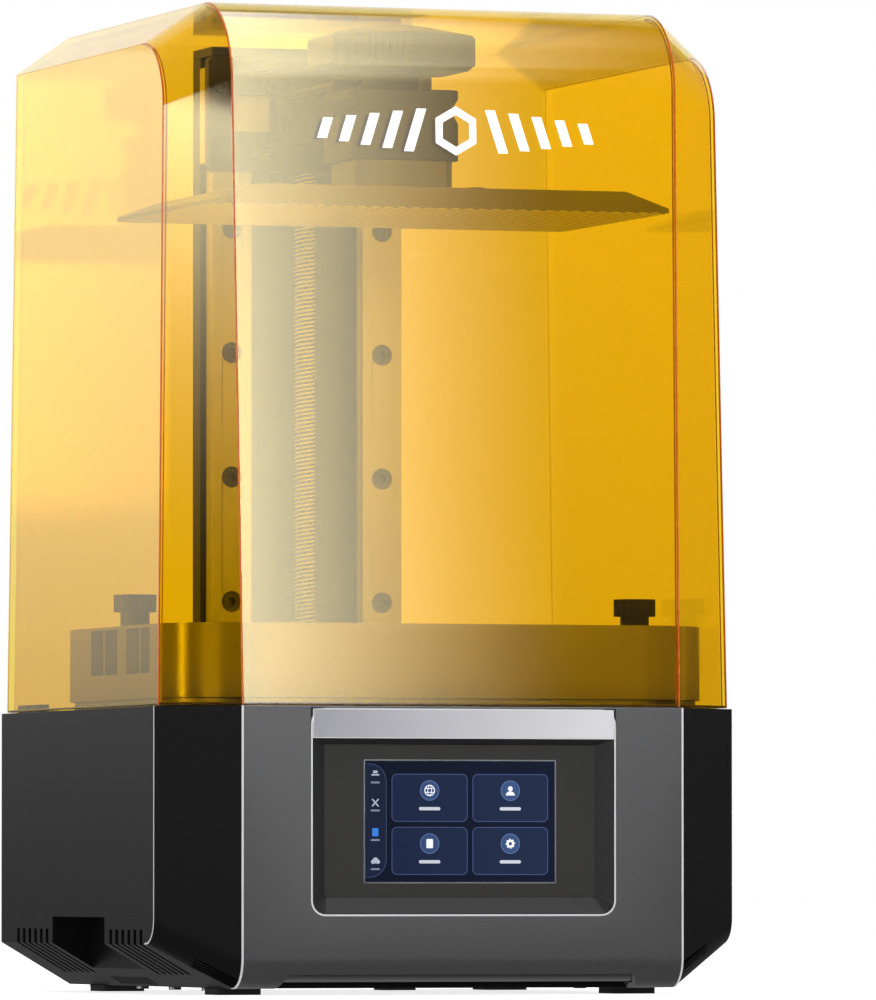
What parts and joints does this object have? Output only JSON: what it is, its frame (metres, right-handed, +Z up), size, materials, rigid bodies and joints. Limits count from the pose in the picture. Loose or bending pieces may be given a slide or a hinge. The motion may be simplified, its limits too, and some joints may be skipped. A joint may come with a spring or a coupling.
{
  "type": "resin printer",
  "caption": "Desktop resin printer with a clear amber lift-off hood, front touch screen, resin vat and a build plate on a screw-driven lift",
  "frame": {"origin": "middle of the footprint, on the surface the feet stand on", "axes": "+Z up, the front with the screen faces -Y, +X to the viewer's right"},
  "size_m": [0.284, 0.268, 0.46],
  "materials": {
    "black_casing": "fine matt moulded black",
    "front_finish": "metallic grey paint, satin",
    "bright_trim": "brushed bright silver",
    "black_plastic": "satin black moulding",
    "sheet_steel": "zinc plated sheet",
    "screw_steel": "plated steel",
    "foot_rubber": "matt black rubber",
    "screen_glass": "black backed gloss glass",
    "display": "lit display",
    "deck_metal": "dark satin paint",
    "mask_metal": "plain sheet",
    "lens": "clear ribbed lens",
    "circuit_board": "solder mask green",
    "board_parts": "mixed small parts",
    "heat_sink": "extruded, bare",
    "motor": "black end caps, steel stack",
    "ground_steel": "ground bright steel",
    "nut_brass": "turned brass",
    "column_metal": "black anodised",
    "rail_steel": "dark ground steel",
    "lift_metal": "dark grey anodised, bead blasted",
    "knob_plastic": "dark grey satin",
    "plate_metal": "anodised, etched underside",
    "vat_metal": "dark grey anodised",
    "clear_film": "clear film",
    "amber_hood": "clear amber acrylic",
    "switch_red": "gloss red"
  },
  "bodies": {
    "base": {"base_shell": "black_casing", "front_panel": "front_finish", "edge_trims": "bright_trim", "bottom_plate": "sheet_steel", "bottom_screws": "screw_steel", "feet": "foot_rubber", "name_plate": "bright_trim", "screen_bezel": "black_plastic", "touch_glass": "screen_glass", "screen_display": "display", "deck_plate": "deck_metal", "deck_screws": "screw_steel", "hood_stops": "black_plastic", "mask_screen": "screen_glass", "mask_frame": "mask_metal", "light_housing": "mask_metal", "fresnel_lens": "lens", "led_board": "circuit_board", "led_chips": "board_parts", "heat_sink": "heat_sink", "light_fan_frame": "black_plastic", "main_board": "circuit_board", "board_parts": "board_parts", "stepper_motor": "motor", "motor_bracket": "sheet_steel", "top_bearing": "ground_steel", "column": "column_metal", "column_cap": "column_metal", "guide_rails": "rail_steel", "rail_screws": "screw_steel", "limit_sensor": "black_plastic", "rear_fan_frame": "black_plastic", "fan_grille": "ground_steel", "power_inlet": "black_plastic", "switch_frame": "black_plastic", "usb_port": "ground_steel"},
    "hood": {"hood_shell": "amber_hood"},
    "carriage": {"bearing_blocks": "rail_steel", "carriage_plate": "lift_metal", "carriage_screws": "screw_steel", "arm": "lift_metal", "clamp_block": "lift_metal", "lead_nut": "nut_brass", "plate_neck": "plate_metal", "build_plate": "plate_metal", "sensor_flag": "black_plastic"},
    "clamp_knob": {"hex_knob": "knob_plastic", "clamp_screw": "screw_steel"},
    "screw_drive": {"lead_screw": "ground_steel", "shaft_coupling": "ground_steel", "motor_shaft": "ground_steel"},
    "vat": {"vat": "vat_metal", "vat_film": "clear_film", "film_frame": "mask_metal", "film_screws": "screw_steel"},
    "thumb_left": {"thumb_screw_left": "knob_plastic"},
    "thumb_right": {"thumb_screw_right": "knob_plastic"},
    "light_fan": {"light_fan_rotor": "black_plastic"},
    "rear_fan": {"rear_fan_rotor": "black_plastic"},
    "switch_rocker": {"power_switch": "switch_red"}
  },
  "joints": [
    {"name": "hood_lift", "type": "slide", "parent": "base", "child": "hood", "axis": [0, 0, 1], "range_m": [0, 0.335]},
    {"name": "plate_lift", "type": "slide", "parent": "base", "child": "carriage", "axis": [0, 0, 1], "range_m": [-0.2305, 0]},
    {"name": "screw_turn", "type": "hinge", "parent": "base", "child": "screw_drive", "pos_m": [0, 0.099, 0.2], "axis": [0, 0, 1], "continuous": true},
    {"name": "clamp_turn", "type": "hinge", "parent": "carriage", "child": "clamp_knob", "pos_m": [0, -0.03, 0.44], "axis": [0, 0, 1], "range_deg": [0, 1080]},
    {"name": "vat_lift", "type": "slide", "parent": "base", "child": "vat", "axis": [0, 0, 1], "range_m": [0, 0.1]},
    {"name": "left_thumb_turn", "type": "hinge", "parent": "vat", "child": "thumb_left", "pos_m": [-0.1245, -0.0236, 0.18], "axis": [0, 0, 1], "range_deg": [0, 2160]},
    {"name": "right_thumb_turn", "type": "hinge", "parent": "vat", "child": "thumb_right", "pos_m": [0.1245, -0.0236, 0.18], "axis": [0, 0, 1], "range_deg": [0, 2160]},
    {"name": "light_fan_turn", "type": "hinge", "parent": "base", "child": "light_fan", "pos_m": [0, -0.03, 0.032], "axis": [0, 0, 1], "continuous": true},
    {"name": "rear_fan_turn", "type": "hinge", "parent": "base", "child": "rear_fan", "pos_m": [-0.085, 0.125, 0.072], "axis": [0, 1, 0], "continuous": true},
    {"name": "power_switch_rock", "type": "hinge", "parent": "base", "child": "switch_rocker", "pos_m": [0.07, 0.127, 0.038], "axis": [1, 0, 0], "range_deg": [0, 12]}
  ],
  "couplings": [
    {"joint": "screw_turn", "follows": "plate_lift", "rad_per_m": 1570.8}
  ]
}
